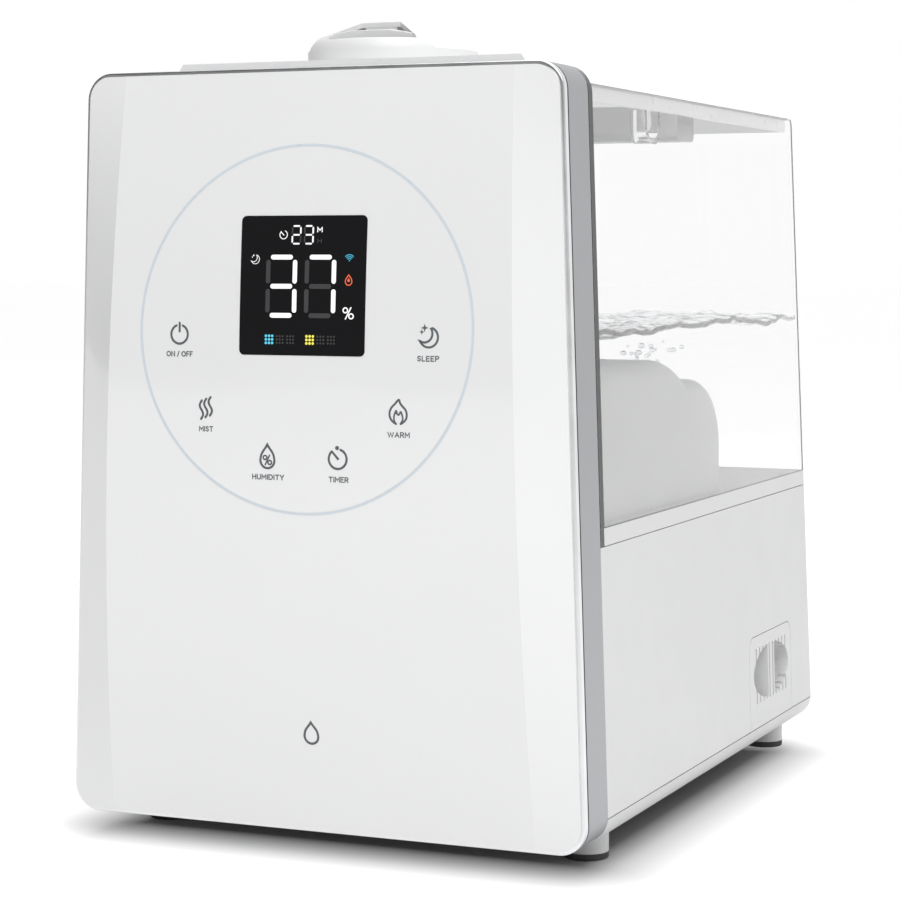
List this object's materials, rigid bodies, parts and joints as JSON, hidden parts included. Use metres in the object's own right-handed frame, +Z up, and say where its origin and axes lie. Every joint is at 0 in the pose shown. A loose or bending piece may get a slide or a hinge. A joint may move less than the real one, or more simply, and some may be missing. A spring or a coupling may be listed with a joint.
{
  "type": "warm and cool mist humidifier",
  "caption": "Free-standing top-fill humidifier: tall framed touch panel, white base, clear lift-off tank, lift-off lid with turning mist nozzle, pull-out scent drawer.",
  "frame": {"origin": "on the floor under the middle of the object's box", "axes": "+X to the right of the front panel, +Y to the back, +Z up"},
  "size_m": [0.1944, 0.296, 0.2898],
  "materials": {
    "satin_metal": "satin, fine grain",
    "polished_rim": "polished",
    "panel_white": "high gloss",
    "window_black": "gloss black lens",
    "inlay_grey": "satin",
    "shell_white": "fine matte",
    "inner_white": "matte",
    "lid_white": "semi-gloss",
    "nozzle_white": "satin",
    "tank_clear": "clear, polished",
    "dome_frosted": "frosted translucent",
    "handle_grey": "matte",
    "foot_rubber": "matte",
    "silicone": "matte",
    "steel": "brushed",
    "circuit_board": "solder mask",
    "dark_plastic": "matte",
    "cable_grey": "matte",
    "ceramic_disc": "plated disc",
    "scent_pad": "felted fibre",
    "float_blue": "matte"
  },
  "bodies": {
    "base": {"front_frame": "satin_metal", "trim_ring": "polished_rim", "front_panel": "panel_white", "display_window": "window_black", "ring_inlay": "inlay_grey", "panel_backplate": "shell_white", "display_board": "circuit_board", "led_module": "dark_plastic", "touch_pads": "steel", "base_shell": "shell_white", "bottom_tray": "shell_white", "foot_posts": "shell_white", "foot_pads": "foot_rubber", "base_screws": "steel", "base_basin": "inner_white", "transducer": "ceramic_disc", "transducer_ring": "steel", "mist_chimney": "inner_white", "heater_plate": "steel", "float_guide": "inner_white", "valve_post": "inner_white", "blower_housing": "dark_plastic", "blower_motor": "steel", "blower_throat": "dark_plastic", "air_duct": "inner_white", "power_board": "circuit_board", "ribbon_cable": "cable_grey", "mains_inlet": "dark_plastic", "humidity_sensor": "circuit_board", "drawer_bay": "inner_white"},
    "tank": {"tank_shell": "tank_clear", "tank_base": "shell_white", "mist_dome": "dome_frosted", "mist_tube": "tank_clear", "handle_bar": "handle_grey", "peg_pockets": "tank_clear", "valve_cap": "inner_white", "valve_gasket": "silicone", "valve_spring": "steel"},
    "lid": {"lid_cover": "lid_white", "lid_deck": "lid_white", "lid_pegs": "lid_white", "lid_gasket": "silicone", "nozzle_collar": "lid_white"},
    "nozzle": {"nozzle_body": "nozzle_white", "nozzle_louvre": "nozzle_white"},
    "drawer": {"drawer_front": "shell_white", "drawer_tray": "inner_white", "aroma_pad": "scent_pad"},
    "blower_wheel": {"blower_wheel": "dark_plastic"},
    "float": {"float": "float_blue"},
    "valve_plunger": {"valve_plunger": "inner_white", "valve_seal": "silicone"}
  },
  "joints": [
    {"name": "tank_lift", "type": "slide", "parent": "base", "child": "tank", "axis": [0, 0, 1], "range_m": [0, 0.19]},
    {"name": "lid_lift", "type": "slide", "parent": "tank", "child": "lid", "axis": [0, 0, 1], "range_m": [0, 0.06]},
    {"name": "nozzle_turn", "type": "hinge", "parent": "lid", "child": "nozzle", "pos_m": [0, -0.07462, 0.2753], "axis": [0, 0, 1], "continuous": true},
    {"name": "drawer_slide", "type": "slide", "parent": "base", "child": "drawer", "axis": [1, 0, 0], "range_m": [0, 0.066]},
    {"name": "blower_spin", "type": "hinge", "parent": "base", "child": "blower_wheel", "pos_m": [0.052, 0.084, 0.08], "axis": [0, 0, 1], "continuous": true},
    {"name": "float_rise", "type": "slide", "parent": "base", "child": "float", "axis": [0, 0, 1], "range_m": [0, 0.012]},
    {"name": "valve_press", "type": "slide", "parent": "tank", "child": "valve_plunger", "axis": [0, 0, 1], "range_m": [0, 0.003], "stiffness_N_per_m": 150, "springref_m": -0.004, "deforming": ["valve_spring"]}
  ]
}
